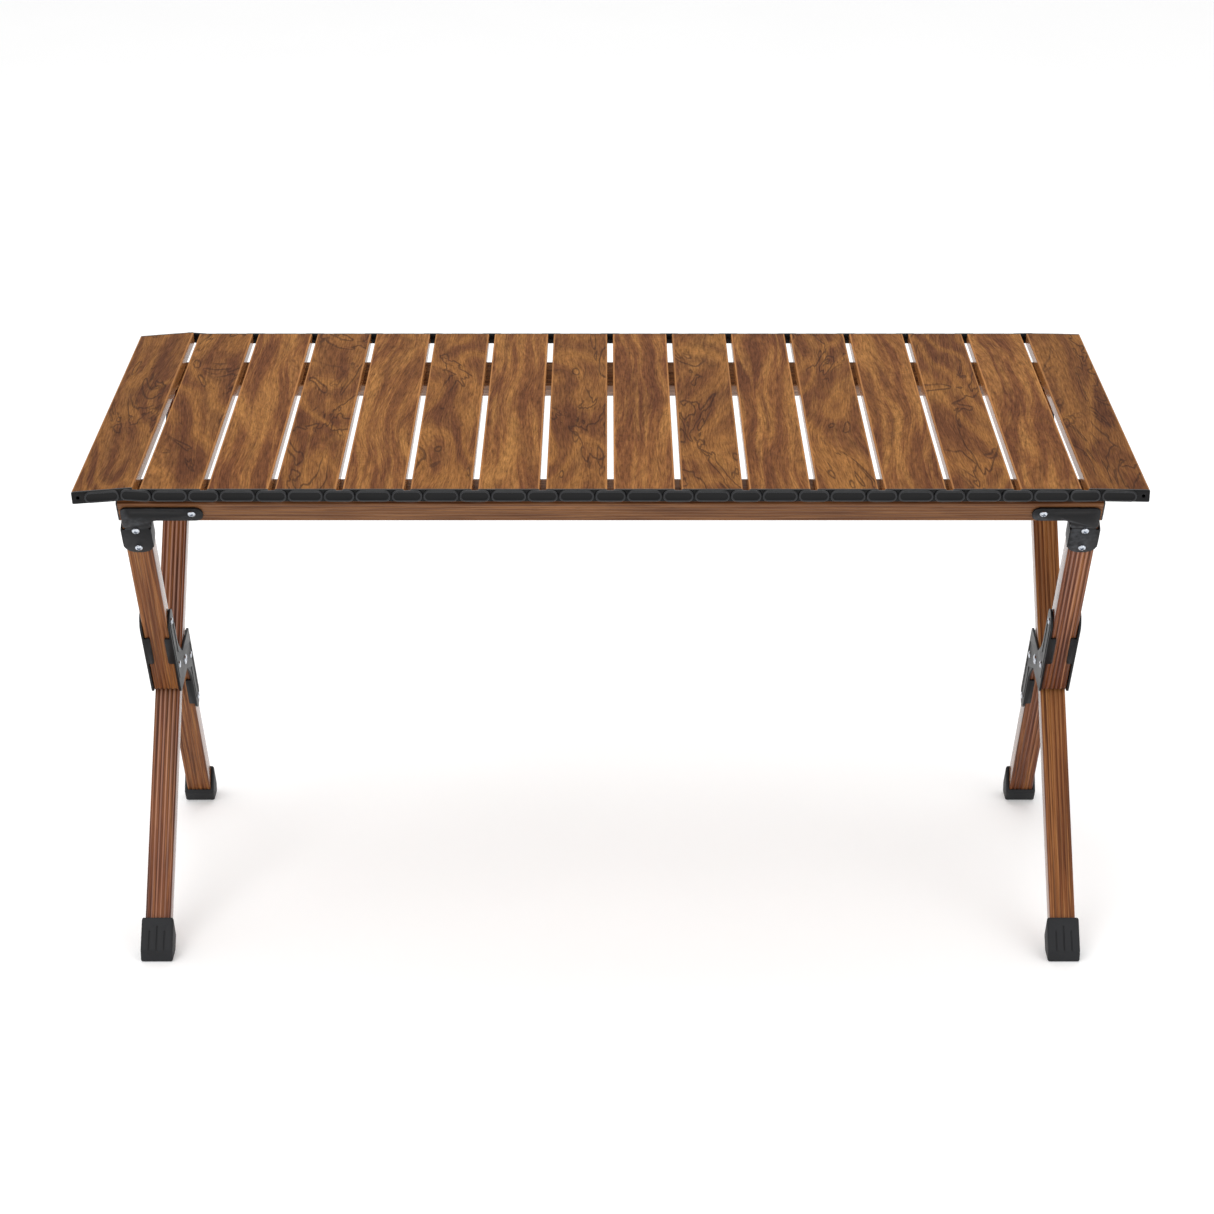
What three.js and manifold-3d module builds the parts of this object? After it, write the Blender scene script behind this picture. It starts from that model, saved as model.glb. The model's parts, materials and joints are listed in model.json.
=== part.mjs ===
// Folding picnic table with a roll-up slatted top on a hinged X frame.
// Millimetres. +X along the table, +Y to the back, +Z up, the floor at Z = 0 under the table's middle.
import * as THREE from 'three';
import { mergeVertices } from 'three/addons/utils/BufferGeometryUtils.js';
import Module from 'manifold-3d';

const wasm = await Module();
wasm.setup();

// Top: slats that run front to back, joined at their ends by short links.
const SLAT_COUNT = 16;
const SLAT_PITCH = 75;
const SLAT_WIDTH = 68;
const SLAT_THICKNESS = 14;
const SLAT_WALL = 1.6;
const TABLE_HEIGHT = 613;
const TABLE_DEPTH = 600;
const CAP_THICKNESS = 3;
const BOSS_THICKNESS = 3;
const BOSS_LENGTH = 39;
const BOSS_HEIGHT = 12.6;
const LINK_HEIGHT = 13;
const PIN_SPACING = 21;
const PIN_RADIUS = 1.7;
const PIN_HOLE_RADIUS = 2;
const PIN_LENGTH = 3.6;

// The two end slats tip a little over the ends of the rails.
const LEFT_TILT = THREE.MathUtils.degToRad(4.5);
const LEFT_PIN_RISE = 1.4;
const RIGHT_TILT = THREE.MathUtils.degToRad(1);
const RIGHT_PIN_RISE = 0.35;

// Frame: leg A runs from the front rail down to the back feet in two offset halves,
// leg B runs in one piece from the back rail down to the front feet, between the halves of A.
const PIVOT_HEIGHT = 288.2;
const LEAN_A = THREE.MathUtils.degToRad(33.6);
const LEAN_B = THREE.MathUtils.degToRad(39.4);
const HALF_OFFSET_A = 36.3;
const LEG_X = 538;
const LEG_WIDTH = 30;
const LEG_THICKNESS = 24;
const LEG_WALL = 1.5;
const LEG_A_INNER_END = 5.7;
const RAIL_DEPTH = 36;
const RAIL_HEIGHT = 32;
const RAIL_HALF_LENGTH = 554;
const RAIL_WALL = 1.6;
const RAIL_CAP_LID = 1.5;
const RAIL_CAP_PLUG = 8;
const GAP = 0.3;

// Joint plates, their pivot rivet and its bush.
const PLATE_THICKNESS = 2.5;
const PLATE_GAP = 0.5;
const PLATE_TAB_THICKNESS = 2;
const PLATE_TAB_REACH = 7;
const RIVET_RADIUS = 3.9;
const RIVET_HEAD_RADIUS = 6.5;
const RIVET_HEAD_HEIGHT = 2;
const BUSH_RADIUS = 6;

// Corner brackets and feet.
const BRACKET_THICKNESS = 2;
const BRACKET_LONG_ARM = 79;
const BRACKET_SHORT_ARM = 63;
const BRACKET_SHOULDER = 3.4;
const BRACKET_ARM_LOW = 3.5;
const BRACKET_ARM_HEIGHT = 22.5;
const BRACKET_LEG_LENGTH = 57;
const BRACKET_WING_DEPTH = 18;
const BRACKET_CORNER = 8;
const BRACKET_WING_LOW = -48;
const BRACKET_WING_HIGH = -14;
const FOOT_WALL = 3.7;
const FOOT_OUTER_RISE = 47;
const FOOT_INNER_RISE = 16;
const FOOT_TOE_RISE = 15;
const LEG_END_IN_FOOT = 18;

const SLAT_MID_HEIGHT = TABLE_HEIGHT - SLAT_THICKNESS / 2;
const SLAT_BOTTOM = TABLE_HEIGHT - SLAT_THICKNESS;
const LINK_LENGTH = PIN_SPACING + LINK_HEIGHT;
const PIN_FROM_CENTRE = (SLAT_PITCH - PIN_SPACING) / 2;

const walnut = new THREE.Color(0x7a4a2b);
const blackSteel = new THREE.Color(0x2b2c2e);
const blackPlastic = new THREE.Color(0x1b1c1d);
const rubber = new THREE.Color(0x17181a);
const zinc = new THREE.Color(0xc9ccd0);

function finish(color, roughness, metalness) {
  return new THREE.MeshStandardMaterial({ color, roughness, metalness });
}

// --- solids -------------------------------------------------------------------------------------

function toSolid(geometry) {
  const bare = geometry.clone();
  bare.deleteAttribute('normal');
  bare.deleteAttribute('uv');
  const merged = mergeVertices(bare, 1e-4);
  const vertProperties = new Float32Array(merged.attributes.position.array);
  const triVerts = new Uint32Array(merged.index.array);
  return new wasm.Manifold(new wasm.Mesh({ numProp: 3, vertProperties, triVerts }));
}

function toGeometry(solid) {
  const mesh = solid.getMesh();
  const geometry = new THREE.BufferGeometry();
  geometry.setAttribute('position', new THREE.BufferAttribute(new Float32Array(mesh.vertProperties), 3));
  geometry.setIndex(new THREE.BufferAttribute(new Uint32Array(mesh.triVerts), 1));
  geometry.computeVertexNormals();
  return geometry;
}

function cut(base, ...cutters) {
  return cutters.reduce((solid, cutter) => solid.subtract(toSolid(cutter)), base);
}

function join(...geometries) {
  const solids = geometries.map(toSolid);
  return solids.reduce((whole, solid) => whole.add(solid));
}

// A box between two corners.
function block(x0, x1, y0, y1, z0, z1) {
  const box = new THREE.BoxGeometry(x1 - x0, y1 - y0, z1 - z0);
  return box.translate((x0 + x1) / 2, (y0 + y1) / 2, (z0 + z1) / 2);
}

// A round bar along Y between y0 and y1.
function barY(radius, y0, y1, x, z, sides = 10) {
  const bar = new THREE.CylinderGeometry(radius, radius, y1 - y0, sides);
  return bar.translate(x, (y0 + y1) / 2, z);
}

// A round bar along X between x0 and x1.
function barX(radius, x0, x1, sides = 20) {
  const bar = new THREE.CylinderGeometry(radius, radius, x1 - x0, sides);
  return bar.rotateZ(Math.PI / 2).translate((x0 + x1) / 2, 0, 0);
}

// A flat shape drawn in X and Z, with its thickness between y0 and y1.
function plateXZ(shape, y0, y1, curveSegments = 6) {
  const plate = new THREE.ExtrudeGeometry(shape, { depth: y1 - y0, bevelEnabled: false, curveSegments });
  return plate.rotateX(Math.PI / 2).translate(0, y1, 0);
}

// A flat shape drawn in Y and Z, with its thickness between x0 and x1.
function plateYZ(shape, x0, x1, curveSegments = 4) {
  const plate = new THREE.ExtrudeGeometry(shape, { depth: x1 - x0, bevelEnabled: false, curveSegments });
  return plate.rotateX(Math.PI / 2).rotateZ(Math.PI / 2).translate(x0, 0, 0);
}

function stadium(length, height) {
  const r = height / 2;
  const straight = length / 2 - r;
  const shape = new THREE.Shape();
  shape.absarc(straight, 0, r, -Math.PI / 2, Math.PI / 2);
  shape.absarc(-straight, 0, r, Math.PI / 2, 3 * Math.PI / 2);
  return shape;
}

function polygon(points) {
  return new THREE.Shape(points.map(([a, b]) => new THREE.Vector2(a, b)));
}

// --- the roll-up top ----------------------------------------------------------------------------

// A hollow slat with its two end caps. A cap has a raised boss between its pin holes.
function slatGeometry() {
  const halfWidth = SLAT_WIDTH / 2;
  const halfThickness = SLAT_THICKNESS / 2;
  const end = TABLE_DEPTH / 2;
  const hollow = block(
    -halfWidth + SLAT_WALL, halfWidth - SLAT_WALL,
    -end + CAP_THICKNESS, end - CAP_THICKNESS,
    -halfThickness + SLAT_WALL, halfThickness - SLAT_WALL,
  );
  const holes = [-1, 1].map((side) => barY(PIN_HOLE_RADIUS, -end - 1, end + 1, side * PIN_FROM_CENTRE, 0, 8));
  const skin = cut(toSolid(block(-halfWidth, halfWidth, -end, end, -halfThickness, halfThickness)), hollow, ...holes);
  const boss = stadium(BOSS_LENGTH, BOSS_HEIGHT);
  const frontBoss = toSolid(plateXZ(boss, -end - BOSS_THICKNESS, -end + 1, 3));
  const backBoss = toSolid(plateXZ(boss, end - 1, end + BOSS_THICKNESS, 3));
  return toGeometry(skin.add(frontBoss).add(backBoss));
}

// A link with the two pins that turn in the caps of the slats beside it.
function linkGeometry() {
  const face = -TABLE_DEPTH / 2 - GAP;
  const plate = plateXZ(stadium(LINK_LENGTH, LINK_HEIGHT), -TABLE_DEPTH / 2 - BOSS_THICKNESS, face, 5);
  const pins = [-1, 1].map((side) => barY(PIN_RADIUS, face - 1, face + PIN_LENGTH, side * PIN_SPACING / 2, 0, 8));
  return toGeometry(join(plate, ...pins));
}

const slatFinish = () => finish(walnut, 0.5, 0.05);

function slatName(number) {
  return `slat_${String(number).padStart(2, '0')}`;
}

function addMesh(group, name, geometry, material, x = 0, y = 0, z = 0) {
  const mesh = new THREE.Mesh(geometry, material);
  mesh.name = name;
  mesh.position.set(x, y, z);
  group.add(mesh);
  return mesh;
}

function buildTop() {
  const top = new THREE.Group();
  const slat = slatGeometry();
  const link = linkGeometry();
  for (let number = 1; number <= SLAT_COUNT; number += 1) {
    const x = (number - (SLAT_COUNT + 1) / 2) * SLAT_PITCH;
    addMesh(top, slatName(number), slat, slatFinish(), x, 0, SLAT_MID_HEIGHT);
  }
  for (let number = 1; number < SLAT_COUNT; number += 1) {
    const x = (number - SLAT_COUNT / 2) * SLAT_PITCH;
    const name = `link_${String(number).padStart(2, '0')}`;
    addMesh(top, name, link, finish(blackPlastic, 0.45, 0), x, 0, SLAT_MID_HEIGHT);
  }
  tipEnd(top, -1, LEFT_TILT, LEFT_PIN_RISE);
  tipEnd(top, 1, RIGHT_TILT, RIGHT_PIN_RISE);
  return top;
}

// Lifts the pin between an end slat and its link, and lets the slat tip down from that pin.
function tipEnd(top, side, tilt, rise) {
  const linkTilt = Math.asin(rise / PIN_SPACING);
  const edgeGap = (SLAT_COUNT / 2 - 1) * SLAT_PITCH;
  const fixedPin = edgeGap - PIN_SPACING / 2;
  const raisedPin = fixedPin + PIN_SPACING * Math.cos(linkTilt);
  const link = top.getObjectByName(side < 0 ? 'link_01' : `link_${SLAT_COUNT - 1}`);
  link.position.set(side * (fixedPin + raisedPin) / 2, 0, SLAT_MID_HEIGHT + rise / 2);
  link.rotation.y = -side * linkTilt;
  const slat = top.getObjectByName(side < 0 ? slatName(1) : slatName(SLAT_COUNT));
  const centre = raisedPin + PIN_FROM_CENTRE * Math.cos(tilt);
  slat.position.set(side * centre, 0, SLAT_MID_HEIGHT + rise - PIN_FROM_CENTRE * Math.sin(tilt));
  slat.rotation.y = side * tilt;
}

// --- the frame ----------------------------------------------------------------------------------

// Each leg frame is built upright around the pivot and then leaned over.
// outerSide is the side of the leg, along local Y, that faces away from the table's middle.
const frameA = { lean: LEAN_A, outerSide: -1, railOuter: -HALF_OFFSET_A - LEG_THICKNESS / 2 };
const frameB = { lean: -LEAN_B, outerSide: 1, railOuter: LEG_THICKNESS / 2 };

// The height, along the leaned leg, at which a point at local y meets a level plane.
function alongLeg(frame, y, level) {
  return (level - PIVOT_HEIGHT - y * Math.sin(frame.lean)) / Math.cos(frame.lean);
}

function railSpan(frame) {
  const inner = frame.railOuter - frame.outerSide * RAIL_DEPTH;
  const top = alongLeg(frame, inner, SLAT_BOTTOM - GAP);
  return { y0: Math.min(inner, frame.railOuter), y1: Math.max(inner, frame.railOuter), z0: top - RAIL_HEIGHT, z1: top };
}

function railGeometry({ y0, y1, z0, z1 }) {
  const tube = toSolid(block(-RAIL_HALF_LENGTH, RAIL_HALF_LENGTH, y0, y1, z0, z1));
  const bore = block(
    -RAIL_HALF_LENGTH - 1, RAIL_HALF_LENGTH + 1,
    y0 + RAIL_WALL, y1 - RAIL_WALL, z0 + RAIL_WALL, z1 - RAIL_WALL,
  );
  return toGeometry(cut(tube, bore));
}

// A flat lid with a plug that fits inside the rail.
function railCapGeometry({ y0, y1, z0, z1 }, side) {
  const inset = RAIL_WALL + GAP;
  const face = RAIL_HALF_LENGTH + GAP;
  const lid = block(face, face + RAIL_CAP_LID, y0, y1, z0, z1);
  const plug = block(face - RAIL_CAP_PLUG, face + 1, y0 + inset, y1 - inset, z0 + inset, z1 - inset);
  const cap = toGeometry(join(lid, plug));
  return side > 0 ? cap : cap.rotateZ(Math.PI).translate(0, y0 + y1, 0);
}

// A straight rectangular leg tube, open at both ends.
function legTube(y, z0, z1) {
  const halfWidth = LEG_WIDTH / 2;
  const halfThickness = LEG_THICKNESS / 2;
  const tube = toSolid(block(-halfWidth, halfWidth, y - halfThickness, y + halfThickness, z0, z1));
  const bore = block(
    -halfWidth + LEG_WALL, halfWidth - LEG_WALL,
    y - halfThickness + LEG_WALL, y + halfThickness - LEG_WALL, z0 - 1, z1 + 1,
  );
  return cut(tube, bore);
}

// Half of the joint plate's outline, in Y and Z around the pivot. The other half is this one turned half a turn.
const PLATE_HALF_OUTLINE = [[-50.6, 4], [-50.6, 140], [-41, 150], [-31, 150], [-22, 140], [-22, 64], [-5, 25]];
// Tabs along the plate's edges, as [low y, high y, low z, high z]. They wrap the faces of leg A's two halves.
const PLATE_TABS = [[-50.6, -48.6, 64, 116], [-24, -22, 80, 132]];

// One joint plate. inward is the direction along X from the plate to the leg that it clasps.
function plateGeometry(inward) {
  const outline = [...PLATE_HALF_OUTLINE, ...PLATE_HALF_OUTLINE.map(([y, z]) => [-y, -z])];
  const near = LEG_WIDTH / 2 + PLATE_GAP;
  const plate = plateYZ(polygon(outline.reverse()), near, near + PLATE_THICKNESS);
  const tabs = PLATE_TABS.flatMap(([y0, y1, z0, z1]) => [
    block(near - PLATE_TAB_REACH, near + 1, y0, y1, z0, z1),
    block(near - PLATE_TAB_REACH, near + 1, -y1, -y0, -z1, -z0),
  ]);
  const solid = cut(join(plate, ...tabs), barX(RIVET_RADIUS + GAP, near - 1, near + PLATE_THICKNESS + 1));
  const geometry = toGeometry(solid);
  return inward < 0 ? geometry : mirrorX(geometry);
}

// The mirror image across X = 0, with its faces turned outward again.
function mirrorX(geometry) {
  const mirrored = geometry.clone().scale(-1, 1, 1);
  const index = mirrored.index.array;
  for (let corner = 0; corner < index.length; corner += 3) {
    [index[corner], index[corner + 1]] = [index[corner + 1], index[corner]];
  }
  mirrored.computeVertexNormals();
  return mirrored;
}

function pivotRivetGeometry() {
  const reach = LEG_WIDTH / 2 + PLATE_GAP + PLATE_THICKNESS + GAP;
  const heads = [-1, 1].map((side) => {
    const ends = [side * reach, side * (reach + RIVET_HEAD_HEIGHT)];
    return barX(RIVET_HEAD_RADIUS, Math.min(...ends), Math.max(...ends));
  });
  return toGeometry(join(barX(RIVET_RADIUS, -reach - 1, reach + 1), ...heads));
}

function pivotBushGeometry() {
  const reach = LEG_WIDTH / 2 + PLATE_GAP - GAP;
  return toGeometry(cut(toSolid(barX(BUSH_RADIUS, -reach, reach)), barX(RIVET_RADIUS + GAP, -reach - 1, reach + 1)));
}

// An L-shaped bracket on the outer faces of rail and leg, with two wings bent around the leg's sides.
// Drawn with the leg's middle at X = 0, the rail's lower edge at Z = 0 and the tube's face at Y = 0.
function bracketGeometry(armSide, outerSide, armEnd) {
  const half = LEG_WIDTH / 2 + GAP + BRACKET_THICKNESS;
  const armTop = BRACKET_ARM_LOW + BRACKET_ARM_HEIGHT;
  const armRadius = BRACKET_ARM_HEIGHT / 2;
  const shape = new THREE.Shape();
  const shoulder = -half + BRACKET_SHOULDER;
  shape.moveTo(shoulder, armTop - BRACKET_CORNER);
  shape.lineTo(shoulder, BRACKET_WING_HIGH + BRACKET_SHOULDER);
  shape.lineTo(-half, BRACKET_WING_HIGH);
  shape.lineTo(-half, -BRACKET_LEG_LENGTH + BRACKET_CORNER);
  shape.quadraticCurveTo(-half, -BRACKET_LEG_LENGTH, 0, -BRACKET_LEG_LENGTH);
  shape.quadraticCurveTo(half, -BRACKET_LEG_LENGTH, half, -BRACKET_LEG_LENGTH + BRACKET_CORNER);
  shape.lineTo(half, BRACKET_ARM_LOW - BRACKET_CORNER);
  shape.quadraticCurveTo(half, BRACKET_ARM_LOW, half + BRACKET_CORNER, BRACKET_ARM_LOW);
  shape.lineTo(armEnd - armRadius, BRACKET_ARM_LOW);
  shape.absarc(armEnd - armRadius, BRACKET_ARM_LOW + armRadius, armRadius, -Math.PI / 2, Math.PI / 2);
  shape.lineTo(shoulder + BRACKET_CORNER, armTop);
  shape.quadraticCurveTo(shoulder, armTop, shoulder, armTop - BRACKET_CORNER);
  const plate = plateXZ(shape, GAP, GAP + BRACKET_THICKNESS, 4);
  const wings = [-1, 1].map((side) => {
    const ends = [side * half, side * (half - BRACKET_THICKNESS)];
    const span = [Math.min(...ends), Math.max(...ends)];
    return block(...span, -BRACKET_WING_DEPTH, GAP + 1, BRACKET_WING_LOW, BRACKET_WING_HIGH);
  });
  const bracket = toGeometry(join(plate, ...wings));
  if (outerSide < 0) {
    bracket.rotateZ(Math.PI);
  }
  return armSide === outerSide ? bracket : mirrorX(bracket);
}

// A rubber boot over the leg's end, with a level sole and an upright toe. Its wall is high on the
// side that faces away from the table's middle, and low on the side under the table.
function footGeometry(frame, y) {
  const halfDepth = LEG_THICKNESS / 2 + GAP + FOOT_WALL;
  const halfWidth = LEG_WIDTH / 2 + GAP + FOOT_WALL;
  const outer = y - frame.outerSide * halfDepth;
  const inner = y + frame.outerSide * halfDepth;
  const toe = [outer, alongLeg(frame, outer, FOOT_TOE_RISE)];
  const soleAtToe = [
    toe[0] - FOOT_TOE_RISE * Math.sin(frame.lean),
    toe[1] - FOOT_TOE_RISE * Math.cos(frame.lean),
  ];
  const outline = [
    [inner, alongLeg(frame, inner, 0)],
    soleAtToe,
    toe,
    [outer, alongLeg(frame, outer, FOOT_OUTER_RISE)],
    [inner, alongLeg(frame, inner, FOOT_INNER_RISE)],
  ];
  const turned = frame.outerSide < 0 ? outline : outline.reverse();
  const boot = toSolid(plateYZ(polygon(turned), -halfWidth, halfWidth));
  const pocket = block(
    -LEG_WIDTH / 2 - GAP, LEG_WIDTH / 2 + GAP,
    y - LEG_THICKNESS / 2 - GAP, y + LEG_THICKNESS / 2 + GAP, legEnd(frame, y) - GAP, 0,
  );
  return toGeometry(cut(boot, pocket));
}

// Where the leg tube stops inside its foot, measured along the leg.
function legEnd(frame, y) {
  return alongLeg(frame, y, 0) + LEG_END_IN_FOOT;
}

function leanedGroup(frame) {
  const group = new THREE.Group();
  group.position.z = PIVOT_HEIGHT;
  group.rotation.x = frame.lean;
  return group;
}

const SIDES = [['left', -1], ['right', 1]];
const legFinish = () => finish(walnut, 0.4, 0.1);
const steelFinish = () => finish(blackSteel, 0.45, 0.4);

function addRail(group, frame, place) {
  const span = railSpan(frame);
  addMesh(group, `${place}_rail`, railGeometry(span), legFinish());
  for (const [sideName, side] of SIDES) {
    addMesh(group, `${place}_rail_cap_${sideName}`, railCapGeometry(span, side), finish(blackPlastic, 0.5, 0));
    const armEnd = side === frame.outerSide ? BRACKET_LONG_ARM : BRACKET_SHORT_ARM;
    const bracket = bracketGeometry(-side, frame.outerSide, armEnd);
    const name = `${place}_corner_bracket_${sideName}`;
    addMesh(group, name, bracket, steelFinish(), side * LEG_X, frame.railOuter, span.z0);
  }
  return span;
}

// Front rail, the two offset halves of leg A on each side, the joint plates and the back feet.
function buildFrameA() {
  const group = leanedGroup(frameA);
  const span = addRail(group, frameA, 'front');
  const upper = legTube(-HALF_OFFSET_A, LEG_A_INNER_END, span.z0 - GAP);
  const lower = legTube(HALF_OFFSET_A, legEnd(frameA, HALF_OFFSET_A), -LEG_A_INNER_END);
  for (const [sideName, side] of SIDES) {
    const x = side * LEG_X;
    addMesh(group, `leg_a_upper_${sideName}`, toGeometry(upper), legFinish(), x);
    addMesh(group, `leg_a_lower_${sideName}`, toGeometry(lower), legFinish(), x);
    addMesh(group, `joint_plate_outer_${sideName}`, plateGeometry(-side), steelFinish(), x);
    addMesh(group, `joint_plate_inner_${sideName}`, plateGeometry(side), steelFinish(), x);
    addMesh(group, `pivot_rivet_${sideName}`, pivotRivetGeometry(), finish(zinc, 0.3, 0.9), x);
    addMesh(group, `back_foot_${sideName}`, footGeometry(frameA, HALF_OFFSET_A), finish(rubber, 0.75, 0), x);
  }
  return group;
}

// Back rail, leg B on each side with its pivot bush, and the front feet.
function buildFrameB() {
  const group = leanedGroup(frameB);
  const span = addRail(group, frameB, 'back');
  const bore = barX(BUSH_RADIUS + GAP, -LEG_WIDTH, LEG_WIDTH);
  const leg = cut(legTube(0, legEnd(frameB, 0), span.z0 - GAP), bore);
  for (const [sideName, side] of SIDES) {
    const x = side * LEG_X;
    addMesh(group, `leg_b_${sideName}`, toGeometry(leg), legFinish(), x);
    addMesh(group, `pivot_bush_${sideName}`, pivotBushGeometry(), finish(blackPlastic, 0.5, 0), x);
    addMesh(group, `front_foot_${sideName}`, footGeometry(frameB, 0), finish(rubber, 0.75, 0), x);
  }
  return group;
}

const table = new THREE.Group();
table.add(buildTop(), buildFrameA(), buildFrameB());

export default table;
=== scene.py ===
"""Looks of a folding picnic table with a roll-up slatted top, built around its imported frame.

Blender works in metres. The table's shapes are drawn in millimetres and scaled once, in add_piece(). The
floor, the lights and the camera are in metres.
"""
import json
import math

import bmesh
import bpy
from mathutils import Matrix, Vector


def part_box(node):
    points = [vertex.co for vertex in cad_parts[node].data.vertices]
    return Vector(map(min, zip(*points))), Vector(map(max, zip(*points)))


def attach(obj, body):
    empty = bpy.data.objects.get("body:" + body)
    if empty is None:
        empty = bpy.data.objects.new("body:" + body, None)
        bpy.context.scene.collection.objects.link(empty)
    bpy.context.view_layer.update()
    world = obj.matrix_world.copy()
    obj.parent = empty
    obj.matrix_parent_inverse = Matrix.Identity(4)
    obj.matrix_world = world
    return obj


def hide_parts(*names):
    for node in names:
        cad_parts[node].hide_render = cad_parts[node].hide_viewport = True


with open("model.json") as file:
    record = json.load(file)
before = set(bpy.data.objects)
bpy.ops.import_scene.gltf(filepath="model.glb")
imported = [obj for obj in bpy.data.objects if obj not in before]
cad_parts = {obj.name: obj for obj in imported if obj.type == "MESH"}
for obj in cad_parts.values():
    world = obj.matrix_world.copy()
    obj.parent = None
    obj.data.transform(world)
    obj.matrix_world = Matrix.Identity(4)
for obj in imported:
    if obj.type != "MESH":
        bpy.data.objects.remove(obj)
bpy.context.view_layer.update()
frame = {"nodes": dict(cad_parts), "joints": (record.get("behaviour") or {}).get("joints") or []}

MM = 0.001

# The top.
SLAT_COUNT = 16
SLAT_WIDTH = 68
SLAT_THICKNESS = 14
SLAT_WALL = 1.6
SLAT_CORNER = 1.6
SLAT_HALF_LENGTH = 300
CAP_THICKNESS = 3
CAP_PLUG = 10
BOSS_LENGTH = 39
BOSS_HEIGHT = 12.6
BOSS_THICKNESS = 3
LINK_LENGTH = 34
LINK_HEIGHT = 13
DISH_RIM = 2
DISH_DEPTH = 0.7
MOULDED_BEVEL = 0.22
PIN_SPACING = 21
PIN_FROM_CENTRE = 27
PIN_RADIUS = 1.7
PIN_HOLE_RADIUS = 2
END_TILTS = {1: -4.5, SLAT_COUNT: 1.0}
PIN_RISES = {1: 1.4, SLAT_COUNT - 1: 0.35}
PLAIN_TONE = 1.06
FIGURED_TONE = 0.94
END_TONE = 0.86
SEED_STEP = 0.37

# The leg frames, each drawn upright around the pivot.
LEAN_A = math.radians(33.6)
LEAN_B = math.radians(-39.4)
HALF_OFFSET_A = 36.3
LEG_X = 538
LEG_WIDTH = 30
LEG_THICKNESS = 24
LEG_A_INNER_END = 5.7
RAIL_DEPTH = 36
RAIL_HEIGHT = 32
RAIL_HALF_LENGTH = 554
RAIL_SEEDS = {"front": 5.0, "back": 9.0}
FLUTES = 5
FLUTE_PITCH = 5.2
LEG_FLUTE_DEPTH = 1.2
RAIL_FLUTE_DEPTH = 0.35
TUBE_CORNER = 1.6
GAP = 0.3
FOOT_WALL = 3.7
FOOT_OUTER_RISE = 47
FOOT_INNER_RISE = 16
FOOT_TOE_RISE = 15
LEG_END_IN_FOOT = 18
# Each slot in a foot's front: its X, and how far its upper end is below the boot's.
FOOT_SLOTS = ((-9, 17), (0, 11), (9, 17))
FOOT_SLOT_LENGTH = 60
FOOT_SLOT_WIDTH = 1.8
FOOT_SLOT_DEPTH = 1.2

# The corner brackets, drawn with the leg's middle at X = 0 and the rail's lower edge at Z = 0. The front
# left one and the back right one have the longer arm.
BRACKET_THICKNESS = 2
BRACKET_HALF = LEG_WIDTH / 2 + GAP + BRACKET_THICKNESS
BRACKET_LONG_ARM = 79
BRACKET_SHORT_ARM = 63
BRACKET_ARM_LOW = 3.5
BRACKET_ARM_TOP = 26
BRACKET_SHOULDER = 3.4
BRACKET_LEG_LOW = -57
BRACKET_WING_LOW = -48
BRACKET_WING_TOP = -14
BRACKET_WING_DEPTH = 18
BRACKET_NOTCH_RADIUS = 2.6
BRACKET_NOTCH_Z = -11.6
BRACKET_PANEL_Z = 16
BRACKET_PANEL_HEIGHT = 8
BRACKET_PANEL_DEPTH = 0.3
BRACKET_BEVEL = 0.55
BRACKET_LEG_SCREWS = ((0, -15.3), (0, -47.4))
BRACKET_RAIL_SCREW_Z = 17
BRACKET_RAIL_SCREW_FROM_END = 12.5

# The scissor joint. An outline is (Y, Z, corner radius), and a tab (Y from, Y to, Z from, Z to).
PLATE_FACE = LEG_WIDTH / 2 + 0.5
PLATE_THICKNESS = 2.5
PLATE_TAB_REACH = 7
PLATE_HALF_OUTLINE = ((-50.6, 4, 4), (-50.6, 140, 6), (-41, 150, 4), (-31, 150, 4), (-22, 140, 6),
                      (-22, 64, 12), (-5, 25, 4))
PLATE_TABS = ((-50.6, -48.6, 64, 116), (-24, -22, 80, 132))
# Each pressed rib: the Y and Z of its middle, and its length.
PLATE_RIBS = ((-44.5, 82, 110), (-28.5, 92, 66))
PLATE_RIB_WIDTH = 4.2
PLATE_RIB_RISE = 0.7
PLATE_BEVEL = 0.45
TUBE_RIVETS = ((-36.3, 134), (-35, 41), (35, -41), (36.3, -134))

# Fasteners. A rivet is (head radius, head height, shank radius); the screw's head is (radius, height) rings.
PIVOT_RIVET = (6.2, 2.2, 3.8)
TUBE_RIVET = (4.4, 1.8, 2.4)
SCREW_SHANK_RADIUS = 2.1
SCREW_HEAD = ((4.5, 0.0), (4.6, 0.5), (4.3, 1.3), (3.5, 2.1), (2.3, 2.6), (1.0, 2.8))

# Faces narrower than this belong to a rounded edge and are shaded smooth.
WIDEST_ROUNDING = 1.6

# The studio, in metres: each light is (name, place, target, size, power).
LIGHTS = (
    ("key", (-1.6, -2.4, 3.6), (0, 0, 0.4), 2.4, 60),
    ("fill", (2.4, -2.6, 1.8), (0, 0, 0.3), 2.4, 26),
    ("top", (0, 1.2, 3.4), (0, 0, 0.6), 2.6, 30),
)
FLOOR_RADIUS = 40
FLOOR_THICKNESS = 0.02
CAMERA_PLACE = (-0.0039, -3.8125, 1.8446)
CAMERA_PITCH_DOWN = 21.319
CAMERA_LENS = 99.83
CAMERA_SENSOR = 36

PIVOT_HEIGHT = frame["joints"][0]["pos_m"][2] / MM
SLAT_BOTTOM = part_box("slat_08")[0].z / MM
SIDES = (("left", -1), ("right", 1))


# --- outlines and solids ------------------------------------------------------------------------

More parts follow.
